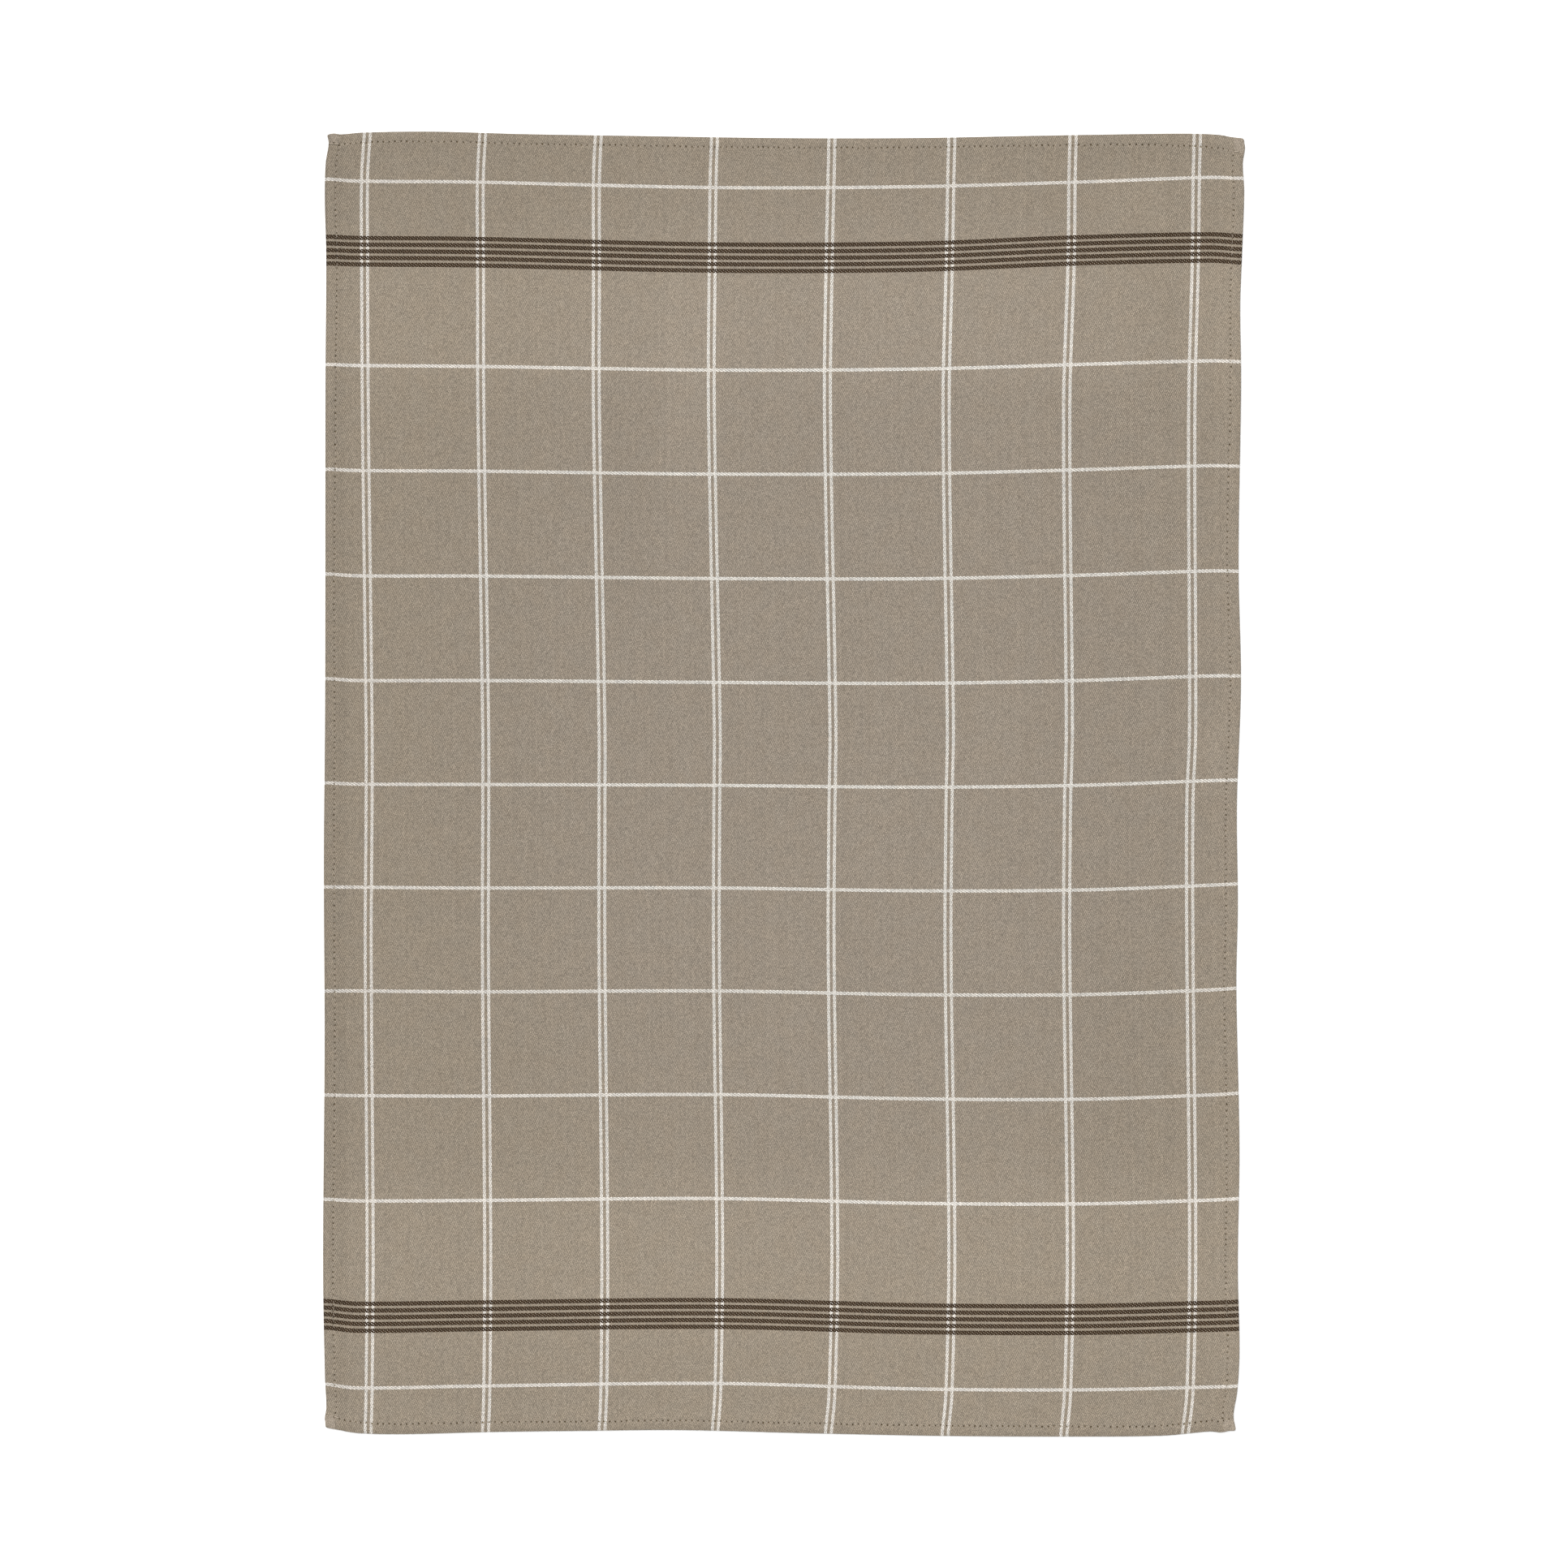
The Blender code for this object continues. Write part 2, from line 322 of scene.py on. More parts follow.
def outline_box(x, y):
    """The left, right, bottom and top limits of the cloth at a place, from the four edges' lines."""
    left = -WIDTH / 2 - edge_out(LEFT_EDGE, y)
    right = WIDTH / 2 + edge_out(RIGHT_EDGE, y)
    bottom = -LENGTH / 2 - edge_out(BOTTOM_EDGE, x)
    top = LENGTH / 2 + edge_out(TOP_EDGE, x)
    return left, right, bottom, top


def nearest_edges(x, y, limits):
    """The nearest side and end of the towel, and how far a place is from each."""
    left, right, bottom, top = limits
    side = "left" if x - left < right - x else "right"
    end = "bottom" if y - bottom < top - y else "top"
    return side, end, min(x - left, right - x), min(y - bottom, top - y)


def fold_height(x, y):
    """The height that all the soft folds together add at a place."""
    total = 0.0
    for fold in FOLDS:
        turn = radians(fold.turn)
        dx = x - fold.x * MM
        dy = y - fold.y * MM
        along = (dx * cos(turn) + dy * sin(turn)) / (fold.half_length * MM)
        across = (dy * cos(turn) - dx * sin(turn)) / (fold.half_width * MM)
        total += fold.height * MM * exp(-(across**2) - along**4)
    return total


def seam_inward(side, along):
    """How far in from its edge a seam is sewn, at a place along it."""
    return smooth_curve(SEAMS[side], along / MM) * MM


def hem_rise(inward, seam_at):
    """How far a hem stands above the cloth, with its groove moved to where the seam is sewn."""
    near_seam = exp(-(((inward - seam_at) / (3.0 * MM)) ** 2))
    moved = inward + (SEAM_IN_HEM * MM - seam_at) * near_seam
    return smooth_curve(HEM, moved / MM) * MM


def ruffle(along, inward, seam_at, seed):
    """The small waves where the stitches draw the cloth in."""
    wave = noise.noise(Vector((along / (5.5 * MM), seed, 0.0)))
    slow = noise.noise(Vector((along / (17.0 * MM), seed + 7.0, 0.0)))
    reach = exp(-(((inward - seam_at) / (6.0 * MM)) ** 2)) * smooth_step(0.0, 2.0 * MM, inward)
    return (0.07 * wave + 0.10 * slow) * MM * reach


def sag(x, y):
    """The uneven lie of the cloth between its folds."""
    wide = noise.noise(Vector((x / (46.0 * MM), y / (58.0 * MM), 3.0)))
    fine = noise.noise(Vector((x / (17.0 * MM), y / (23.0 * MM), 9.0)))
    return (0.10 * wide + 0.035 * fine) * MM


Spot = namedtuple("Spot", "x y side end from_side from_end side_seam end_seam")


def lean_at(spot):
    """How steeply the cloth's surface leans towards the right and towards the top at a place."""
    near_side = exp(-((spot.from_side / EDGE_LEAN_REACH) ** 2))
    near_end = exp(-((spot.from_end / EDGE_LEAN_REACH) ** 2))
    right = EDGE_LEAN[spot.side] * near_side
    up = EDGE_LEAN[spot.end] * near_end
    for swell in SWELLS:
        across = (spot.x / MM - swell.x) / swell.half_width
        along = (spot.y / MM - swell.y) / swell.half_length
        share = exp(-(across**4) - along**4)
        right += swell.right * share
        up += swell.up * share
    return right * LEAN_STEP, up * LEAN_STEP


def spot_at(x, y):
    """A place on the towel, with its nearest side and end, its way to them and where they are sewn."""
    side, end, from_side, from_end = nearest_edges(x, y, outline_box(x, y))
    return Spot(x, y, side, end, from_side, from_end, seam_inward(side, y), seam_inward(end, x))


def face_height(spot):
    """The height of the cloth's face."""
    side_hem = hem_rise(spot.from_side, spot.side_seam)
    end_hem = hem_rise(spot.from_end, spot.end_seam)
    hem = max(side_hem, end_hem) + CROSSED_HEM * min(side_hem, end_hem)
    side_ruffle = ruffle(spot.y, spot.from_side, spot.side_seam, 1.0 if spot.side == "left" else 2.0)
    end_ruffle = ruffle(spot.x, spot.from_end, spot.end_seam, 3.0 if spot.end == "bottom" else 4.0)
    lie = max(SOLID_CLOTH + fold_height(spot.x, spot.y), SOLID_THINNEST)
    pressed = exp(-((min(spot.from_side, spot.from_end) / PRESSED_REACH) ** 2))
    lie -= (lie + hem - SINK) * PRESSED_SHARE * pressed
    return lie + hem - SINK + side_ruffle + end_ruffle + sag(spot.x, spot.y)


def under_height(spot, face, hem_width, thickness):
    """The height of the underside: flat under the hems, and one layer of cloth below the face elsewhere."""
    from_edge = min(spot.from_side, spot.from_end)
    single = max(face - thickness, 0.06 * MM)
    open_cloth = smooth_step(hem_width - 0.1 * MM, hem_width + 0.15 * MM, from_edge)
    lifted = 0.0
    if spot.from_end > hem_width:  # a side hem runs up on to the end hem that is folded over it
        lifted = 0.5 * MM * exp(-(spot.from_end - hem_width) / (8.0 * MM))
    for inward, seam_at in ((spot.from_side, spot.side_seam), (spot.from_end, spot.end_seam)):
        lifted = max(lifted, 0.24 * MM * exp(-(((inward - seam_at) / (0.5 * MM)) ** 2)))
    return lifted + (single - lifted) * open_cloth


def unwind(even, beside, drift, drift_at):
    """Where a place lay on the loom, before the stripes drifted off their even places."""
    columns = range(1, len(drift_at) + 1)
    drifts = [smooth_curve([(row[0], row[column]) for row in drift], beside) for column in columns]
    drifts = list(zip(drift_at, drifts))
    place = even
    for _ in range(2):
        place = even - smooth_curve(drifts, place)
    return place


def warp_place(x, y):
    """Where a place lies across the warp, in millimetres from the middle between two pairs of stripes."""
    return unwind(x / MM - WARP_MIDDLE, y / MM, WARP_DRIFT, WARP_DRIFT_AT)


def weft_place(x, y):
    """Where a place lies along the warp, in millimetres from the middle stripe."""
    return unwind(y / MM, x / MM, WEFT_DRIFT, WEFT_DRIFT_AT)


def stitch_count(along, stitch):
    """How many stitches, of slightly varied length, lie between the middle of a seam and a place along it."""
    return along / stitch + 0.9 * sin(along / (52.0 * MM)) + 0.4 * sin(along / (19.0 * MM))


def place_of_stitch(count, stitch):
    """The place along a seam where a count of stitches is reached."""
    along = count * stitch
    for _ in range(12):
        along -= (stitch_count(along, stitch) - count) * stitch * 0.9
    return along


# ---------------------------------------------------------------- the cloth's mesh


def hem_lines(hem):
    """How far in from the edge the mesh's lines run at a hem."""
    inner = hem.width / MM
    on_hem = [hem.edge_round / MM, 1.2, 1.7, 2.5, 3.5, 4.5, 5.2, 5.7, 6.2]
    past_hem = [8.0, 9.2, 11.0, 14.0, 17.5, 21.0]
    return [*on_hem, inner - 0.4, inner - 0.1, inner + 0.15, *past_hem]


def grid_lines(size, step, insets):
    """The mesh's lines across one direction, as (share of the way, inset from there) pairs.

    The hem's lines keep their distance from the edge, and those between them are evenly spread.
    """
    hem = [inset * MM for inset in insets]
    count = round((size - 2 * hem[-1]) / step)
    lines = [(0.0, inward) for inward in hem]
    lines += [(share / count, hem[-1] * (1 - 2 * share / count)) for share in range(1, count)]
    lines += [(1.0, -inward) for inward in reversed(hem)]
    return lines


def on_line(line, low, high):
    """Where a line runs between two limits."""
    share, inset = line
    return low + (high - low) * share + inset


def round_corner(from_side, from_end, radius):
    """How far to move a point in from the side and the end, so that the corner is round."""
    if from_side >= radius or from_end >= radius:
        return 0.0, 0.0
    across = radius - from_side
    up = radius - from_end
    pull = 1 - max(across, up) / hypot(across, up)
    return across * pull, up * pull


def place_point(column, row, corner_round):
    """Where two of the mesh's lines cross on the towel's outline."""
    rough_x = on_line(column, -WIDTH / 2, WIDTH / 2)
    rough_y = on_line(row, -LENGTH / 2, LENGTH / 2)
    limits = outline_box(rough_x, rough_y)
    x = on_line(column, *limits[:2])
    y = on_line(row, *limits[2:])
    side, end, from_side, from_end = nearest_edges(x, y, limits)
    in_from_side, in_from_end = round_corner(from_side, from_end, corner_round)
    x += in_from_side if side == "left" else -in_from_side
    y += in_from_end if end == "bottom" else -in_from_end
    return Spot(x, y, side, end, from_side, from_end, seam_inward(side, y), seam_inward(end, x))


class ClothMesh:
    """The towel's cloth as one closed sheet, with its face, its back and the hems turned under it."""

    # The map for the face leaves this share of the width, and a gap, to the back's.
    FACE_SHARE = 0.70
    MAP_GAP = 0.012
    MAP_REACH = (264.0, 370.0)
    RIM_ANGLES = (60.0, 30.0, 0.0, -30.0, -60.0)

    def __init__(self, cloth, hem):
        self.cloth = cloth
        self.hem = hem
        insets = hem_lines(hem)
        self.columns = grid_lines(WIDTH, cloth.mesh_step, insets)
        self.rows = grid_lines(LENGTH, cloth.mesh_step, insets)
        self.flap_lines = sum(inset * MM < hem.width + 0.2 * MM for inset in insets)
        self.mesh = bmesh.new()
        self.place_layer = self.mesh.loops.layers.float_vector.new("thread_place")
        self.map_layer = self.mesh.loops.layers.uv.new("UVMap")
        self.side_layer = self.mesh.verts.layers.float_vector.new("side_seam")
        self.end_layer = self.mesh.verts.layers.float_vector.new("end_seam")
        self.lean_layer = self.mesh.verts.layers.float_vector.new("lean")

    def add_point(self, spot, height):
        """A vertex, which also knows its lean, its distance from the seams and its stitch along them."""
        vert = self.mesh.verts.new((spot.x, spot.y, height))
        stitch = self.hem.stitch
        from_side_seam = (spot.from_side - spot.side_seam) / MM
        from_end_seam = (spot.from_end - spot.end_seam) / MM
        vert[self.side_layer] = (from_side_seam, stitch_count(spot.y, stitch), from_end_seam)
        if (spot.end, spot.side) in OPEN_CORNERS:
            from_side_seam = max(from_side_seam, 1.0)
        vert[self.end_layer] = (from_end_seam, stitch_count(spot.x, stitch), from_side_seam)
        vert[self.lean_layer] = (*lean_at(spot), 0.0)
        return vert

    def face_place(self, spot):
        """The thread coordinates of a place on the face or straight below it, on the back."""
        return warp_place(spot.x, spot.y), weft_place(spot.x, spot.y)

    def turned_place(self, spot, edge, inward):
        """The thread coordinates of a place on the turned hem. inward is negative beyond the edge."""
        limit = outline_box(spot.x, spot.y)[EDGES.index(edge)]
        into = inward / MM if edge in ("left", "bottom") else -inward / MM
        if edge in ("left", "right"):
            return warp_place(limit, spot.y) + into, weft_place(spot.x, spot.y)
        return warp_place(spot.x, spot.y), weft_place(spot.x, limit) + into

    def under_place(self, spot, edge):
        """The thread coordinates of a place on the underside of an edge's turned hem."""
        beyond = (pi - 2) * self.hem.edge_round
        inward = spot.from_side if edge in ("left", "right") else spot.from_end
        return self.turned_place(spot, edge, -inward - beyond)

    def add_face(self, verts, places, on_back):
        """A face of the mesh, with its thread coordinates and its place on the map."""
        face = self.mesh.faces.new(verts)
        face.smooth = True
        reach_across, reach_along = self.MAP_REACH
        for loop, (across, along) in zip(face.loops, places):
            loop[self.place_layer] = (across, along, 1.0 if on_back else 0.0)
            u = (across + reach_across) / (2 * reach_across)
            v = (along + reach_along) / (2 * reach_along)
            if on_back:
                u = self.FACE_SHARE + self.MAP_GAP + u * (1 - self.FACE_SHARE - self.MAP_GAP)
            else:
                u *= self.FACE_SHARE
            loop[self.map_layer].uv = (u, v)

    def part_of_under(self, column, row):
        """What a square of the underside belongs to. The end hems are folded over the side hems."""
        if row < self.flap_lines - 1:
            return "bottom"
        if row >= len(self.rows) - self.flap_lines:
            return "top"
        if column < self.flap_lines - 1:
            return "left"
        if column >= len(self.columns) - self.flap_lines:
            return "right"
        return "back"

    def add_sheets(self):
        """The face and the underside, as two grids with the same lines."""
        hem = self.hem
        across = range(len(self.columns))
        along = range(len(self.rows))
        corner = hem.corner_round
        self.spots = {}
        self.over = {}
        self.under = {}
        for i in across:
            for j in along:
                spot = place_point(self.columns[i], self.rows[j], corner)
                face = face_height(spot)
                below = under_height(spot, face, hem.width, self.cloth.thickness)
                self.spots[i, j] = spot
                self.over[i, j] = self.add_point(spot, face)
                self.under[i, j] = self.add_point(spot, below)
        places = {key: self.face_place(spot) for key, spot in self.spots.items()}
        for i in across[:-1]:
            for j in along[:-1]:
                keys = ((i, j), (i + 1, j), (i + 1, j + 1), (i, j + 1))
                self.add_face([self.over[key] for key in keys], [places[key] for key in keys], False)
                part = self.part_of_under(i, j)
                turned = keys[::-1]
                if part == "back":
                    turned_places = [places[key] for key in turned]
                else:
                    turned_places = [self.under_place(self.spots[key], part) for key in turned]
                self.add_face([self.under[key] for key in turned], turned_places, part == "back")

    def rim_keys(self):
        """The grid's outermost crossings, once round from the bottom left corner."""
        last_column = len(self.columns) - 1
        last_row = len(self.rows) - 1
        keys = [(i, 0) for i in range(last_column)]
        keys += [(last_column, j) for j in range(last_row)]
        keys += [(i, last_row) for i in range(last_column, 0, -1)]
        keys += [(0, j) for j in range(last_row, 0, -1)]
        return keys

    def rim_spot(self, key, inset):
        """Where the folded edge runs, at an inset from the outline."""
        i, j = key
        column = self.columns[i]
        row = self.rows[j]
        if i in (0, len(self.columns) - 1):
            column = (column[0], inset if i == 0 else -inset)
        if j in (0, len(self.rows) - 1):
            row = (row[0], inset if j == 0 else -inset)
        return place_point(column, row, self.hem.corner_round)

    def add_rim(self):
        """The round folded edge, which joins the face to the underside."""
        radius = self.hem.edge_round
        keys = self.rim_keys()
        rings = [{key: (self.over[key], self.spots[key]) for key in keys}]
        angles = [90.0, *self.RIM_ANGLES, -90.0]
        for angle in self.RIM_ANGLES:
            ring = {}
            for key in keys:
                spot = self.rim_spot(key, radius * (1 - cos(radians(angle))))
                high = self.over[key].co.z
                low = self.under[key].co.z
                height = (high + low) / 2 + (high - low) / 2 * sin(radians(angle))
                ring[key] = (self.add_point(spot, height), spot)
            rings.append(ring)
        rings.append({key: (self.under[key], self.spots[key]) for key in keys})
        turned = [radius - radius * radians(90.0 - angle) for angle in angles]
        for level in range(len(rings) - 1):
            for index, key in enumerate(keys):
                following = keys[(index + 1) % len(keys)]
                edge = self.edge_between(key, following)
                corners = ((level, following), (level, key), (level + 1, key), (level + 1, following))
                verts = [rings[ring][at][0] for ring, at in corners]
                places = [self.turned_place(rings[ring][at][1], edge, turned[ring]) for ring, at in corners]
                self.add_face(verts, places, False)

    def edge_between(self, key, following):
        """Which of the four edges runs between two neighbouring crossings of the rim."""
        if key[1] == following[1]:
            return "bottom" if key[1] == 0 else "top"
        return "left" if key[0] == 0 else "right"

    def build(self, name):
        """The finished object."""
        self.add_sheets()
        self.add_rim()
        data = bpy.data.meshes.new(name)
        self.mesh.to_mesh(data)
        self.mesh.free()
        made = bpy.data.objects.new(name, data)
        bpy.context.scene.collection.objects.link(made)
        return made


# ---------------------------------------------------------------- shader nodes


class Wire:
    """A value in a node tree, which takes part in arithmetic as a number does."""

    def __init__(self, tree, socket):
        self.tree = tree
        self.socket = socket

    def calc(self, operation, *others):
        node = self.tree.nodes.new("ShaderNodeMath")
        node.operation = operation
        for socket, value in zip(node.inputs, (self, *others)):
            feed(self.tree, socket, value)
        return Wire(self.tree, node.outputs[0])

    def __rsub__(self, other):
        return (self * -1.0) + other

    __add__ = __radd__ = partialmethod(calc, "ADD")
    __sub__ = partialmethod(calc, "SUBTRACT")
    __mul__ = __rmul__ = partialmethod(calc, "MULTIPLY")
    __truediv__ = partialmethod(calc, "DIVIDE")
    floor = partialmethod(calc, "FLOOR")
    fraction = partialmethod(calc, "FRACT")
    size = partialmethod(calc, "ABSOLUTE")
    wrap = partialmethod(calc, "FLOORED_MODULO")
    nearest = partialmethod(calc, "ROUND")
    power = partialmethod(calc, "POWER")
    cosine = partialmethod(calc, "COSINE")
    sign = partialmethod(calc, "SIGN")
    below = partialmethod(calc, "LESS_THAN")
    above = partialmethod(calc, "GREATER_THAN")
    most = partialmethod(calc, "MAXIMUM")

    def toward(self, other, share):
        """This value, or another in its place as share goes from 0 to 1."""
        return self + (other - self) * share

    def smooth(self, low, high, to_low=0.0, to_high=1.0):
        """A soft step between two values."""
        node = self.tree.nodes.new("ShaderNodeMapRange")
        node.interpolation_type = "SMOOTHSTEP"
        for index, value in enumerate((self, low, high, to_low, to_high)):
            feed(self.tree, node.inputs[index], value)
        return Wire(self.tree, node.outputs[0])


def feed(tree, socket, value):
    """Links a wire to a socket, or sets the socket's own value."""
    if isinstance(value, Wire):
        tree.links.new(value.socket, socket)
    else:
        socket.default_value = value


def split(tree, vector):
    """The three numbers of a vector."""
    node = tree.nodes.new("ShaderNodeSeparateXYZ")
    feed(tree, node.inputs[0], vector)
    return [Wire(tree, output) for output in node.outputs]


def join(tree, x, y, z=0.0):
    """A vector of three numbers."""
    node = tree.nodes.new("ShaderNodeCombineXYZ")
    for socket, value in zip(node.inputs, (x, y, z)):
        feed(tree, socket, value)
    return Wire(tree, node.outputs[0])


def cloudy(tree, place, scale, detail=2.0, roughness=0.5):
    """Soft noise from 0 to 1."""
    node = tree.nodes.new("ShaderNodeTexNoise")
    feed(tree, node.inputs["Vector"], place)
    node.inputs["Scale"].default_value = scale
    node.inputs["Detail"].default_value = detail
    node.inputs["Roughness"].default_value = roughness
    return Wire(tree, node.outputs["Fac"])


def chance(tree, place):
    """A number from 0 to 1 that differs from cell to cell."""
    node = tree.nodes.new("ShaderNodeTexWhiteNoise")
    node.noise_dimensions = "3D"
    feed(tree, node.inputs["Vector"], place)
    return Wire(tree, node.outputs["Value"])


def mix_colour(tree, share, low, high):
    """One colour, or another in its place as share goes from 0 to 1."""
    node = tree.nodes.new("ShaderNodeMix")
    node.data_type = "RGBA"
    feed(tree, node.inputs["Factor"], share)
    feed(tree, node.inputs["A"], low)
    feed(tree, node.inputs["B"], high)
    return Wire(tree, node.outputs["Result"])


def shade_colour(tree, colour, amount):
    """A colour made lighter or darker by a number."""
    node = tree.nodes.new("ShaderNodeVectorMath")
    node.operation = "SCALE"
    feed(tree, node.inputs[0], colour)
    feed(tree, node.inputs["Scale"], amount)
    return Wire(tree, node.outputs[0])


def colour_in(tree, colour):
    """A colour from the settings, as a node that other nodes can read."""
    node = tree.nodes.new("ShaderNodeRGB")
    node.outputs[0].default_value = (*colour, 1.0)
    return Wire(tree, node.outputs[0])


def start_group(name, inputs, outputs):
    """A new shader group with its sockets, and the wires that its inputs bring in."""
    group = bpy.data.node_groups.new(name, "ShaderNodeTree")
    for title, kind, default in inputs:
        socket = group.interface.new_socket(name=title, in_out="INPUT", socket_type=kind)
        if default is not None:
            socket.default_value = default
    for title, kind in outputs:
        group.interface.new_socket(name=title, in_out="OUTPUT", socket_type=kind)
    entry = group.nodes.new("NodeGroupInput")
    wires = {title: Wire(group, entry.outputs[title]) for title, kind, default in inputs}
    return group, wires


def finish_group(group, **results):
    """Links a group's results to its outputs, whose names have spaces for underscores."""
    leave = group.nodes.new("NodeGroupOutput")
    for name, wire in results.items():
        feed(group, leave.inputs[name.replace("_", " ")], wire)
    return group


def use_group(tree, group, **values):
    """Places a group in a tree, feeds its inputs, and gives back its outputs by name."""
    node = tree.nodes.new("ShaderNodeGroup")
    node.node_tree = group
    for name, value in values.items():
        feed(tree, node.inputs[name.replace("_", " ")], value)
    return {output.name: Wire(tree, output) for output in node.outputs}


NUMBER = "NodeSocketFloat"
VECTOR = "NodeSocketVector"

# How much darker the gaps between the threads are painted than their tops: painted shade in the weave's
# crevices.
CREVICE_SHADE_DEPTH = 1.12

# Tints that the cloth's colour is multiplied by.
PLAIN = (1.0, 1.0, 1.0, 1.0)
COOL_TINT = (0.992, 1.0, 1.01, 1.0)
WARM_TINT = (1.008, 1.0, 0.99, 1.0)
AGED_GROUND = (1.009, 1.0, 0.965, 1.0)
AGED_WHITE = (1.016, 1.0, 0.995, 1.0)
# The painted shade in the needle holes.
PAINTED_HOLE_SHADE = (0.3, 0.235, 0.12, 1.0)


def make_stripe_group():
    """Which threads are white or brown, counted from the towel's middle, and how the bands crowd them."""
    group, wires = start_group(
        "Stripe plan",
        [("Across", NUMBER, 0.0), ("Along", NUMBER, 0.0)],
        [(title, NUMBER) for title in ("White Warp", "White Weft", "Brown Weft", "In Band", "Along")],
    )
    end = wires["Across"].floor() + 0.5
    from_pair = (end - PAIR_FIRST + PAIR_EVERY / 2).wrap(PAIR_EVERY) - PAIR_EVERY / 2
    white_warp = from_pair.size().above(PAIR_INNER) * from_pair.size().below(PAIR_OUTER)

    # In the bands, each brown line spreads, and squeezes the ground between it and the next.
    half = BAND_LINE / 2
    gap_share = (BAND_EVERY / 2 - half) / (BAND_EVERY / 2 - half * BROWN_SPREAD)
    on_lower = wires["Along"].below(0.0)
    band_at = on_lower * LOWER_BAND_FURTHER + BAND_AT
    from_band = wires["Along"].size() - band_at
    from_brown = (from_band + BAND_EVERY / 2).wrap(BAND_EVERY) - BAND_EVERY / 2
    reach = from_brown.size()
    spread = (reach / BROWN_SPREAD).most((reach - half * BROWN_SPREAD) * gap_share + half)
    moved = (spread - reach) * from_brown.sign() * from_band.size().below(BAND_REACH)
    along = wires["Along"] + moved * (1.0 - on_lower * 2.0)

    pick = along.floor() + 0.5
    from_line = (pick + LINE_EVERY / 2).wrap(LINE_EVERY) - LINE_EVERY / 2
    from_middle = pick.size()
    inner_line = from_line.size().below(LINE_HALF) * from_middle.below(LINES_REACH)
    outer_line = (from_middle - END_LINE_AT).size().below(LINE_HALF)
    pick_from_band = from_middle - band_at
    in_band = pick_from_band.size().below(BAND_HALF)
    brown = (pick_from_band + half).wrap(BAND_EVERY).below(BAND_LINE) * in_band
    return finish_group(
        group,
        White_Warp=white_warp,
        White_Weft=inner_line.most(outer_line),
        Brown_Weft=brown,
        In_Band=in_band,
        Along=along,
    )


def make_satin_group():
    """A five-end satin: which thread is on top, how high it stands, and each float's own chance number."""
    group, wires = start_group(
        "Satin weave",
        [
            ("Across", NUMBER, 0.0),
            ("Along", NUMBER, 0.0),
            ("Warp Faced", NUMBER, 1.0),
            ("Lattice", NUMBER, 0.0),
        ],
        [(title, NUMBER) for title in ("Warp On Top", "Relief", "Float Luck", "Cross Luck")],
    )
    across = wires["Across"]
    along = wires["Along"]
    faced = wires["Warp Faced"]
    end = across.floor()
    pick = along.floor()
    off_end = across.fraction() - 0.5
    off_pick = along.fraction() - 0.5
    along_float = along - end * SATIN_STEP - wires["Lattice"]
    across_float = across - (pick - wires["Lattice"]) * SATIN_BACK_STEP
    warp_float = along_float.wrap(SATIN)
    weft_float = across_float.wrap(SATIN)

    def float_rise(phase, aside):
        arch = 0.5 - ((phase - 0.5) * (2 * pi / SATIN)).cosine() * 0.5
        return arch * (1.0 - aside * aside * 2.2)

    # Where the other thread comes up between two floats, it shows as a small round dot.
    from_dot = off_end * off_end + off_pick * off_pick
    dot = from_dot.below(0.21)
    dot_rise = (1.0 - from_dot * 3.6) * 0.62
    warp_dot_rise = (1.0 - from_dot * 3.0) * 0.95
    weft_dot = warp_float.below(1.0)
    warp_dot = weft_float.below(1.0)
    warp_side = float_rise(warp_float, off_end).toward(dot_rise, weft_dot)
    weft_side = float_rise(weft_float, off_pick).toward(warp_dot_rise, warp_dot)
    warp_on_top = (warp_dot * dot).toward(1.0 - weft_dot * dot, faced)
    relief = weft_side.toward(warp_side, faced)
    thread = pick.toward(end, faced)
    which = (across_float / SATIN).floor().toward((along_float / SATIN).floor(), faced)
    return finish_group(
        group,
        Warp_On_Top=warp_on_top,
        Relief=relief.most(0.0),
        Float_Luck=chance(group, join(group, thread, which, faced)),
        Cross_Luck=chance(group, join(group, end, pick, 7.0)),
    )


def make_yarn_group():
    """How much lighter or darker one yarn is than the next, and along its length."""
    group, wires = start_group(
        "Yarn evenness",
        [("Thread", NUMBER, 0.0), ("Along", NUMBER, 0.0), ("Seed", NUMBER, 0.0)],
        [("Shade", NUMBER)],
    )
    own = chance(group, join(group, wires["Thread"], wires["Seed"])) - 0.5
    slub_place = join(group, wires["Thread"] * 7.31, wires["Along"], wires["Seed"])
    slow = cloudy(group, slub_place, 0.11, detail=1.0) - 0.5
    quick = cloudy(group, slub_place, 0.9, detail=1.0) - 0.5
    return finish_group(group, Shade=own * 0.09 + slow * 0.04 + quick * 0.08 + 1.0)


def make_needle_group():
    """The needle holes along a seam and the dip round each of them. They close where two hems cross."""
    group, wires = start_group(
        "Needle holes",
        [
            ("Seam", VECTOR, None),
            ("Stitch", NUMBER, 3.1),
            ("Seed", NUMBER, 0.0),
            ("At Crossing", NUMBER, 0.3),
        ],
        [("Hole", NUMBER), ("Dip", NUMBER)],
    )
    across, count, from_other = split(group, wires["Seam"])
    nearest = count.nearest()
    luck = chance(group, join(group, nearest, wires["Seed"]))
    other_luck = chance(group, join(group, nearest, wires["Seed"], 5.0))
    along = (count - nearest) * wires["Stitch"] + (luck - 0.5) * 0.5
    aside = across + (other_luck - 0.5) * 0.5
    away = (along * along + aside * aside).power(0.5)
    size = luck * 0.18 + 0.49
    strength = from_other.smooth(-1.4, 0.2, wires["At Crossing"], 1.0)
    hole = away.smooth(size, size * 0.4) * (other_luck * 0.5 + 0.65) * strength
    dip = away.smooth(1.5, 0.2) * (other_luck * 0.6 + 0.55)
    return finish_group(group, Hole=hole, Dip=dip * strength)


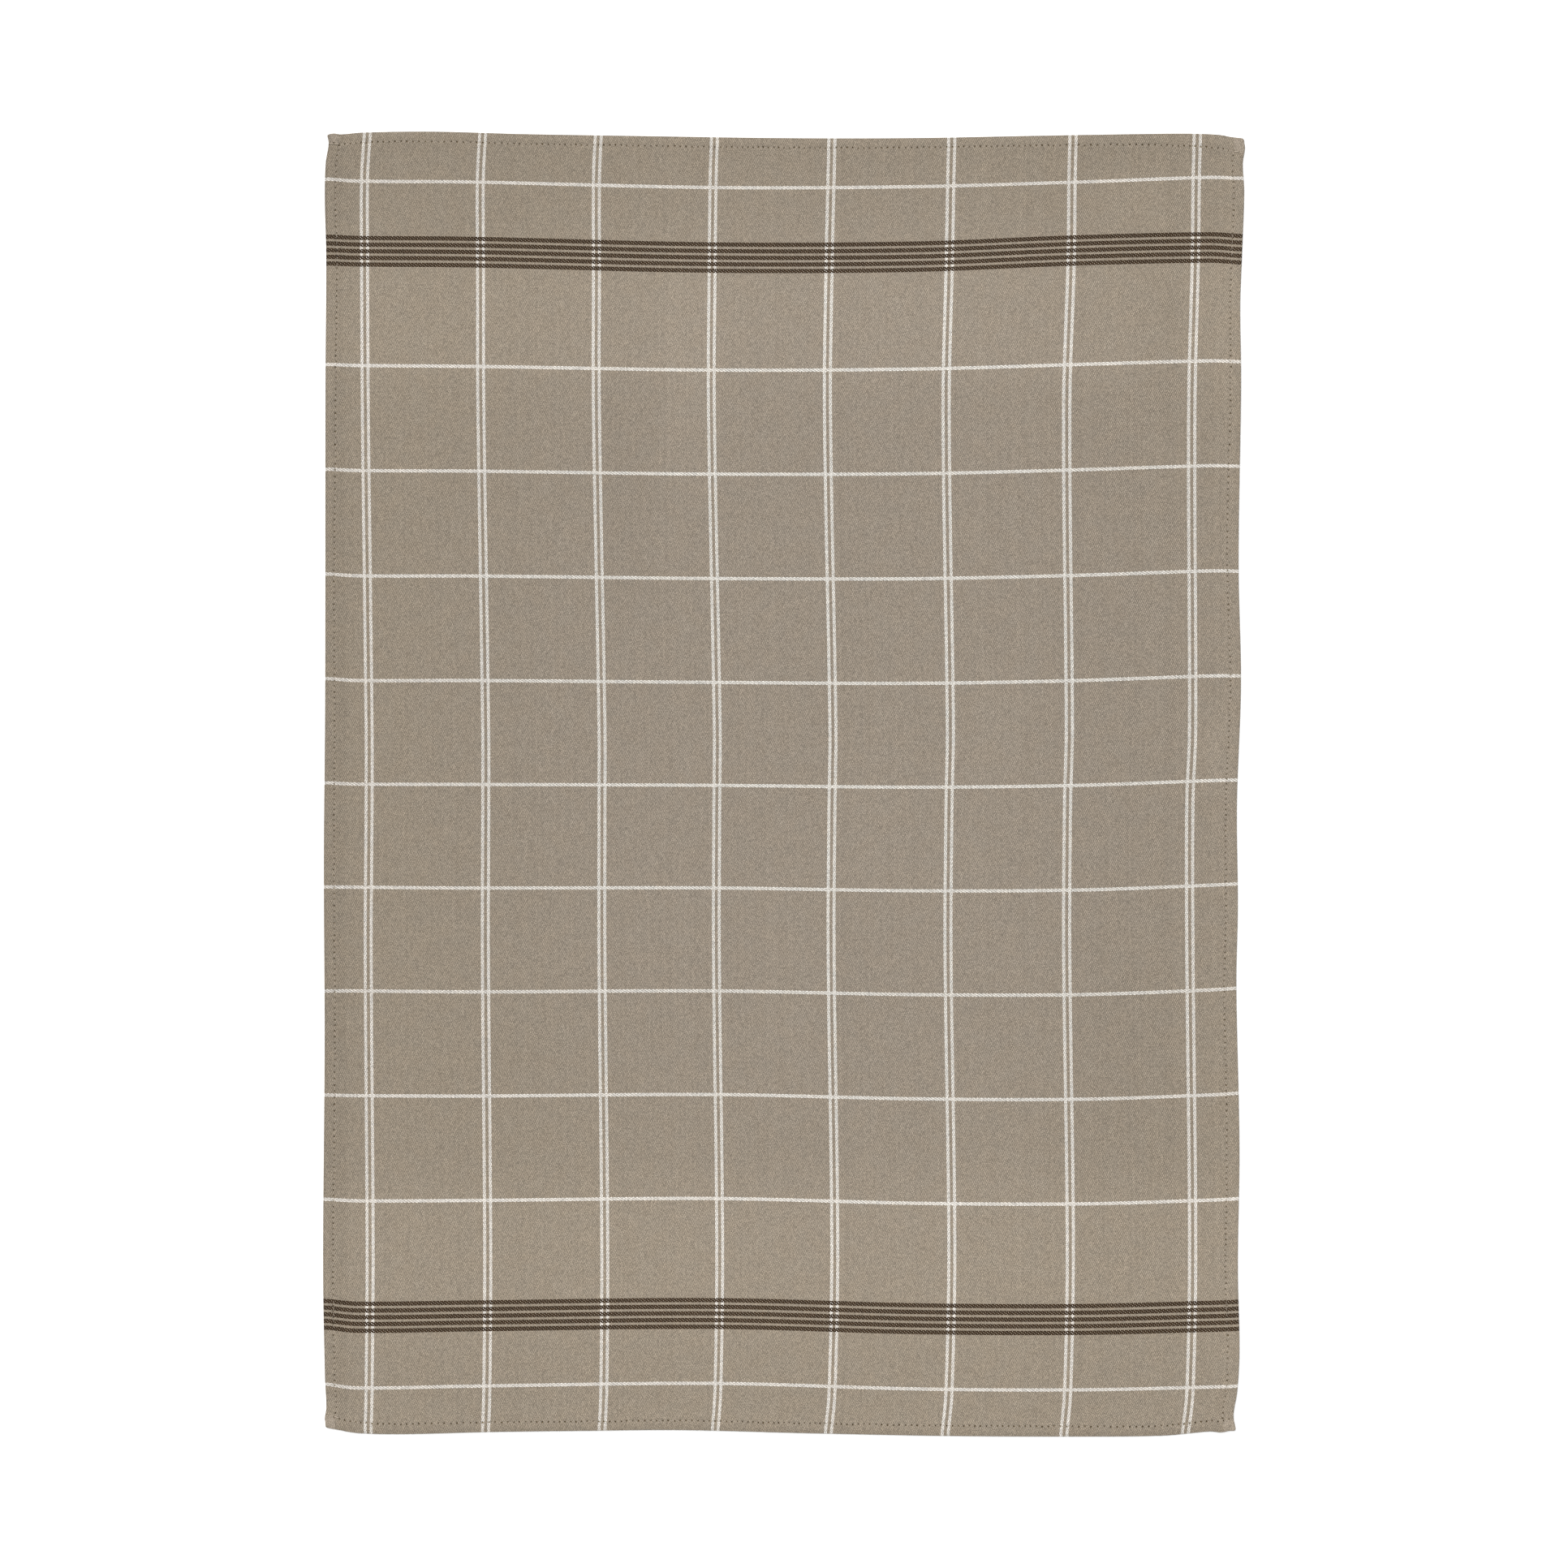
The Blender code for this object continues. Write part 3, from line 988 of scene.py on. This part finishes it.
def new_material(name):
    """A material with a node tree, its Principled shader and that tree."""
    material = bpy.data.materials.new(name)
    material.use_nodes = True
    tree = material.node_tree
    return material, tree, tree.nodes["Principled BSDF"]


def read_attribute(tree, name):
    """A vector that the mesh carries."""
    node = tree.nodes.new("ShaderNodeAttribute")
    node.attribute_name = name
    return Wire(tree, node.outputs["Vector"])


def vector_calc(tree, operation, first, second=None):
    """Arithmetic with vectors."""
    node = tree.nodes.new("ShaderNodeVectorMath")
    node.operation = operation
    feed(tree, node.inputs[0], first)
    if second is not None:
        feed(tree, node.inputs[1], second)
    return Wire(tree, node.outputs[0])


def make_lean_group():
    """Turns the surface's normal by the lean that the cloth carries, on its face and its back alike."""
    group, wires = start_group("Cloth lean", [("Lean", VECTOR, None)], [("Normal", VECTOR)])
    surface = group.nodes.new("ShaderNodeNewGeometry")
    normal = Wire(group, surface.outputs["Normal"])
    upward = split(group, normal)[2]
    turned = vector_calc(group, "SUBTRACT", normal, shade_colour(group, wires["Lean"], upward))
    return finish_group(group, Normal=vector_calc(group, "NORMALIZE", turned))


def add_bump(tree, height, distance, under=None):
    """Raises the surface by a height that goes from 0 to 1."""
    node = tree.nodes.new("ShaderNodeBump")
    node.inputs["Strength"].default_value = 1.0
    node.inputs["Distance"].default_value = distance
    feed(tree, node.inputs["Height"], height)
    if under is not None:
        feed(tree, node.inputs["Normal"], under)
    return Wire(tree, node.outputs["Normal"])


def make_cloth_material(cloth, hem):
    """Cotton satin with its woven stripes, the same threads showing the other way round on the back."""
    material, tree, shader = new_material("striped cotton satin")
    stripes = make_stripe_group()
    satin = make_satin_group()
    yarn = make_yarn_group()
    needle = make_needle_group()
    lean = make_lean_group()

    place_across, place_along, on_back = split(tree, read_attribute(tree, "thread_place"))
    across = place_across / (cloth.end_pitch / MM)
    even_along = place_along / (cloth.pick_pitch / MM)
    plan = use_group(tree, stripes, Across=across, Along=even_along)
    along = plan["Along"]
    weft_stripe = plan["White Weft"].most(plan["Brown Weft"])
    warp_faced = (1.0 - weft_stripe).toward(weft_stripe, on_back)
    lattice = weft_stripe * 2.0
    weave = use_group(tree, satin, Across=across, Along=along, Warp_Faced=warp_faced, Lattice=lattice)
    relief = weave["Relief"]

    beige = colour_in(tree, cloth.beige)
    white = colour_in(tree, cloth.white)
    brown = colour_in(tree, cloth.brown)
    warp_shade = use_group(tree, yarn, Thread=across.floor(), Along=along, Seed=1.0)["Shade"]
    weft_shade = use_group(tree, yarn, Thread=along.floor(), Along=across, Seed=2.0)["Shade"]
    warp_colour = mix_colour(tree, plan["White Warp"], beige, white)
    weft_colour = mix_colour(tree, plan["White Weft"], beige, white)
    weft_colour = mix_colour(tree, plan["Brown Weft"], weft_colour, brown)
    bright_in_band = plan["White Warp"] * plan["In Band"] * 0.12 + 1.0
    warp_colour = shade_colour(tree, warp_colour, warp_shade * bright_in_band)
    weft_colour = shade_colour(tree, weft_colour, weft_shade)
    colour = mix_colour(tree, weave["Warp On Top"], weft_colour, warp_colour)

    whole_place = join(tree, place_across, place_along, on_back * 40.0)
    clouds = cloudy(tree, whole_place, 0.05, detail=3.0, roughness=0.7) - 0.5
    flecks = cloudy(tree, whole_place, 0.55, detail=2.0) - 0.5
    nubs = cloudy(tree, whole_place, 0.8, detail=0.0).smooth(0.80, 0.88)
    warmth = cloudy(tree, join(tree, place_along, place_across, 11.0), 0.09, detail=1.0).smooth(0.3, 0.7)
    tint = mix_colour(tree, warmth, COOL_TINT, WARM_TINT)
    # The weave's crevices are painted darker than the threads' tops, as painted shade.
    crevice_shade = relief.power(0.8) * CREVICE_SHADE_DEPTH + (1.0 - CREVICE_SHADE_DEPTH * 0.55)
    luck = (weave["Float Luck"] - 0.5) * 0.08 + (weave["Cross Luck"] - 0.5) * 0.56
    side_seam = read_attribute(tree, "side_seam")
    end_seam = read_attribute(tree, "end_seam")
    side = use_group(tree, needle, Seam=side_seam, Stitch=hem.stitch / MM, Seed=1.0, At_Crossing=0.1)
    end = use_group(tree, needle, Seam=end_seam, Stitch=hem.stitch / MM, Seed=2.0, At_Crossing=0.35)
    lower_end = place_along.below(0.0)
    hole = (side["Hole"] * 0.84).most(end["Hole"] * (lower_end * 0.14 + 1.0))
    dip = side["Dip"].most(end["Dip"])

    # The painted crevice shade is lighter in the white yarn, where light bounces about, and on the crossed
    # hems at a corner, which are pressed smooth.
    past_side, _, past_end = split(tree, side_seam)
    crossing = past_side.smooth(0.3, -0.5) * past_end.smooth(0.3, -0.5)
    whiteness = plan["White Warp"].most(plan["White Weft"])
    crevice_shade = crevice_shade + (1.0 - crevice_shade) * (whiteness * 0.35).most(crossing * 0.55)
    shade = crevice_shade * (clouds * 0.03 + flecks * 0.02 + nubs * 0.08 + luck + 1.0)
    # The dip round each needle hole is painted a little darker, as painted shade, and the crossed hems at a
    # corner are painted lighter, as painted light.
    shade = shade * (1.0 - dip * 0.06) * (crossing * 0.15 + 1.0)
    # Towards its edges, and most at the left, the cloth has yellowed a little.
    off_across = (place_across - 40.0) / 300.0
    off_along = (place_along - 40.0) / 380.0
    age = (off_across * off_across + off_along * off_along).smooth(0.1, 0.85)
    age = age * (1.0 - crossing)
    aged = mix_colour(tree, whiteness, AGED_GROUND, AGED_WHITE)
    tint = vector_calc(tree, "MULTIPLY", tint, mix_colour(tree, age, PLAIN, aged))
    # The needle holes are painted dark, as painted shade in them.
    tint = vector_calc(tree, "MULTIPLY", tint, mix_colour(tree, hole, PLAIN, PAINTED_HOLE_SHADE))
    tinted = vector_calc(tree, "MULTIPLY", colour, tint)
    feed(tree, shader.inputs["Base Color"], shade_colour(tree, tinted, shade))
    feed(tree, shader.inputs["Roughness"], 0.90 - relief * 0.12)
    shader.inputs["Specular IOR Level"].default_value = 0.18
    shader.inputs["Sheen Weight"].default_value = 0.12
    shader.inputs["Sheen Roughness"].default_value = 0.45
    leaning = use_group(tree, lean, Lean=read_attribute(tree, "lean"))["Normal"]
    threads = add_bump(tree, relief, cloth.relief, under=leaning)
    normal = add_bump(tree, 1.0 - dip * 0.15 - hole * 0.5, 0.5 * MM, under=threads)
    feed(tree, shader.inputs["Normal"], normal)
    return material, yarn


def make_thread_material(hem, yarn):
    """Sewing thread, a little paler than the ground."""
    material, tree, shader = new_material("sewing thread")
    place = tree.nodes.new("ShaderNodeTexCoord")
    x, y, z = split(tree, Wire(tree, place.outputs["Object"]))
    # The thread is painted darker in the grooves of its twist, as painted shade; the same twist raises its
    # bump.
    twist = ((x + y * 0.8) / (0.22 * MM)).fraction().smooth(0.0, 0.5) * 0.25 + 0.75
    shade = use_group(tree, yarn, Thread=((x + y) / (4.0 * MM)).floor(), Along=x / MM, Seed=3.0)["Shade"]
    loose = split(tree, read_attribute(tree, "loose"))[0]
    shade = shade * (loose * 0.4 + 1.0)
    colour = colour_in(tree, hem.thread_colour)
    feed(tree, shader.inputs["Base Color"], shade_colour(tree, colour, shade * twist))
    shader.inputs["Roughness"].default_value = 0.75
    shader.inputs["Specular IOR Level"].default_value = 0.2
    feed(tree, shader.inputs["Normal"], add_bump(tree, twist, 0.05 * MM))
    return material


def make_floor_material(stage):
    """A plain pale floor, lit a little from below as a photographer's light table is."""
    material, tree, shader = new_material("pale floor")
    place = tree.nodes.new("ShaderNodeTexCoord")
    grain = cloudy(tree, Wire(tree, place.outputs["Object"]), 3.0)
    colour = colour_in(tree, stage.floor_colour)
    feed(tree, shader.inputs["Base Color"], shade_colour(tree, colour, (grain - 0.5) * 0.004 + 1.0))
    shader.inputs["Roughness"].default_value = 0.9
    shader.inputs["Specular IOR Level"].default_value = 0.0
    shader.inputs["Emission Color"].default_value = PLAIN
    shader.inputs["Emission Strength"].default_value = stage.glow
    return material


# ---------------------------------------------------------------- the stitches


def model_stitch(hem):
    """One stitch of thread along +X, from needle hole to needle hole."""
    bpy.ops.object.select_all(action="DESELECT")
    share, height = STITCH[0]
    bpy.ops.mesh.primitive_circle_add(
        vertices=hem.thread_sides,
        radius=hem.thread / 2,
        fill_type="NGON",
        location=(share * hem.stitch, 0.0, height * MM),
        rotation=(0.0, pi / 2, 0.0),
    )
    stitch = bpy.context.object
    bpy.ops.object.transform_apply(location=True, rotation=True, scale=True)
    bpy.ops.object.mode_set(mode="EDIT")
    bpy.ops.mesh.select_all(action="SELECT")
    for next_share, next_height in STITCH[1:]:
        ahead = (next_share - share) * hem.stitch
        up = (next_height - height) * MM
        bpy.ops.mesh.extrude_region_move(TRANSFORM_OT_translate={"value": (ahead, 0.0, up)})
        share, height = next_share, next_height
    bpy.ops.mesh.select_all(action="SELECT")
    bpy.ops.mesh.normals_make_consistent(inside=False)
    bpy.ops.object.mode_set(mode="OBJECT")
    return stitch


def seam_point(edge, along):
    """Where a seam runs, at a place along its edge."""
    on_side = edge in ("left", "right")
    limits = outline_box(0.0, along) if on_side else outline_box(along, 0.0)
    inward = seam_inward(edge, along)
    across = limits[EDGES.index(edge)] + (inward if edge in ("left", "bottom") else -inward)
    return (across, along) if on_side else (along, across)


def seam_reach(edge):
    """Where a seam starts and ends along its edge, just short of the towel's other edges."""
    if edge in ("left", "right"):
        x = WIDTH / 2 - SEAM_IN_HEM * MM
        limits = outline_box(-x if edge == "left" else x, 0.0)[2:]
    else:
        y = LENGTH / 2 - SEAM_IN_HEM * MM
        limits = outline_box(0.0, -y if edge == "bottom" else y)[:2]
    return limits[0] + SEAM_SHORT, limits[1] - SEAM_SHORT


def stitch_places(edge, cloth, hem):
    """Where each stitch of a seam lies: its middle, heights, direction and length, and how loose it is."""
    start, finish = seam_reach(edge)
    first = int(stitch_count(start, hem.stitch)) - 1
    last = int(stitch_count(finish, hem.stitch)) + 1
    for count in range(first, last):
        near = max(place_of_stitch(count, hem.stitch), start)
        far = min(place_of_stitch(count + 1, hem.stitch), finish)
        if far - near < hem.stitch * SHORTEST_STITCH:
            continue
        ax, ay = seam_point(edge, near)
        bx, by = seam_point(edge, far)
        spot = spot_at((ax + bx) / 2, (ay + by) / 2)
        face = face_height(spot)
        below = under_height(spot, face, hem.width, cloth.thickness)
        loose = 0.0
        if (edge, spot.side) in LOOSE_CORNERS:
            loose = smooth_step(8.0 * MM, 6.0 * MM, spot.from_side)
        luck = noise.noise(Vector((count * 1.7, len(edge) * 9.0, 0.5)))
        lift = (-0.08 + 0.05 * luck + 0.28 * loose) * MM
        turn = atan2(by - ay, bx - ax) + radians(5.0) * luck
        yield spot, face + lift, below + 0.05 * MM, turn, hypot(bx - ax, by - ay), loose


def copy_stitches(pattern, cloth, hem, name):
    """All the seams' stitches, needle thread above and bobbin thread below, as one mesh."""
    joined = bmesh.new()
    loose_layer = joined.verts.layers.float_vector.new("loose")
    for edge in SEAMS:
        for spot, above, below, turn, length, loose in stitch_places(edge, cloth, hem):
            thick = 1.0 + LOOSE_THICKER * loose
            stretch = Matrix.Diagonal((length / hem.stitch, thick, thick, 1.0))
            turned = Matrix.Rotation(turn, 4, "Z") @ stretch
            flip = Matrix.Rotation(pi, 4, "X")
            for height, over in ((above, Matrix.Identity(4)), (below, flip)):
                first = len(joined.verts)
                joined.from_mesh(pattern)
                joined.verts.ensure_lookup_table()
                place = Matrix.Translation((spot.x, spot.y, height)) @ turned @ over
                bmesh.ops.transform(joined, matrix=place, verts=joined.verts[first:])
                for vert in joined.verts[first:]:
                    vert[loose_layer] = (loose, 0.0, 0.0)
    for face in joined.faces:
        face.smooth = True
    data = bpy.data.meshes.new(name)
    joined.to_mesh(data)
    joined.free()
    made = bpy.data.objects.new(name, data)
    bpy.context.scene.collection.objects.link(made)
    return made


# ---------------------------------------------------------------- operators


class TEATOWEL_OT_weave(Operator):
    """Lays out the woven cloth with its hems turned under"""

    bl_idname = "teatowel.weave"
    bl_label = "Weave the Cloth"

    def execute(self, context):
        cloth = context.scene.tea_towel_cloth
        hem = context.scene.tea_towel_hem
        made = ClothMesh(cloth, hem).build("woven_cloth")
        material, yarn = make_cloth_material(cloth, hem)
        made.data.materials.append(material)
        bpy.ops.object.select_all(action="DESELECT")
        made.select_set(True)
        context.view_layer.objects.active = made
        bpy.ops.object.shade_smooth_by_angle(angle=radians(60.0))
        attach(made, "root")
        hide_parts("towel")
        return {"FINISHED"}


class TEATOWEL_OT_sew(Operator):
    """Sews the four hems with a row of stitches each"""

    bl_idname = "teatowel.sew"
    bl_label = "Sew the Hems"

    def execute(self, context):
        cloth = context.scene.tea_towel_cloth
        hem = context.scene.tea_towel_hem
        pattern = model_stitch(hem)
        made = copy_stitches(pattern.data, cloth, hem, "hem_stitches")
        bpy.data.objects.remove(pattern, do_unlink=True)
        made.data.materials.append(make_thread_material(hem, bpy.data.node_groups["Yarn evenness"]))
        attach(made, "root")
        return {"FINISHED"}


class TEATOWEL_OT_stage(Operator):
    """Adds the pale floor, the soft light and the camera above the towel"""

    bl_idname = "teatowel.stage"
    bl_label = "Set the Stage"

    def execute(self, context):
        stage = context.scene.tea_towel_stage
        bpy.ops.object.select_all(action="DESELECT")
        bpy.ops.mesh.primitive_plane_add(size=stage.floor_size, location=(0.0, 0.0, 0.0))
        floor = context.object
        floor.name = "floor"
        floor.data.materials.append(make_floor_material(stage))

        towards = Vector(
            (
                cos(stage.key_turn) * cos(stage.key_height),
                sin(stage.key_turn) * cos(stage.key_height),
                sin(stage.key_height),
            )
        )
        bpy.ops.object.light_add(type="SUN", location=towards * 2.5)
        key = context.object
        key.name = "soft main light"
        key.rotation_mode = "QUATERNION"
        key.rotation_quaternion = towards.to_track_quat("Z", "Y")
        key.data.energy = stage.key
        key.data.angle = stage.key_spread

        world = bpy.data.worlds.new("even studio light")
        world.use_nodes = True
        background = world.node_tree.nodes["Background"]
        background.inputs["Color"].default_value = (1.0, 1.0, 1.0, 1.0)
        background.inputs["Strength"].default_value = stage.fill
        context.scene.world = world

        bpy.ops.object.camera_add(location=(0.0, 0.0, stage.camera_height), rotation=(0.0, 0.0, 0.0))
        camera = context.object
        camera.name = "overhead camera"
        camera.data.lens = stage.lens
        camera.data.sensor_width = 36.0
        context.scene.camera = camera
        context.scene.view_settings.view_transform = "Standard"
        return {"FINISHED"}


class TEATOWEL_PT_panel(Panel):
    """The towel's settings and the steps that make it"""

    bl_idname = "TEATOWEL_PT_panel"
    bl_label = "Striped Tea Towel"
    bl_space_type = "VIEW_3D"
    bl_region_type = "UI"
    bl_category = "Tea Towel"

    def draw(self, context):
        scene = context.scene
        steps = (
            (scene.tea_towel_cloth, TEATOWEL_OT_weave),
            (scene.tea_towel_hem, TEATOWEL_OT_sew),
            (scene.tea_towel_stage, TEATOWEL_OT_stage),
        )
        for settings, operator in steps:
            box = self.layout.box()
            for name in settings.__annotations__:
                box.prop(settings, name)
            box.operator(operator.bl_idname)


CLASSES = (
    ClothSettings,
    HemSettings,
    StageSettings,
    TEATOWEL_OT_weave,
    TEATOWEL_OT_sew,
    TEATOWEL_OT_stage,
    TEATOWEL_PT_panel,
)


def register():
    for kind in CLASSES:
        bpy.utils.register_class(kind)
    bpy.types.Scene.tea_towel_cloth = PointerProperty(type=ClothSettings)
    bpy.types.Scene.tea_towel_hem = PointerProperty(type=HemSettings)
    bpy.types.Scene.tea_towel_stage = PointerProperty(type=StageSettings)


def unregister():
    del bpy.types.Scene.tea_towel_stage
    del bpy.types.Scene.tea_towel_hem
    del bpy.types.Scene.tea_towel_cloth
    for kind in reversed(CLASSES):
        bpy.utils.unregister_class(kind)


def main():
    register()
    bpy.ops.teatowel.weave()
    bpy.ops.teatowel.sew()
    bpy.ops.teatowel.stage()


if __name__ == "__main__":
    main()
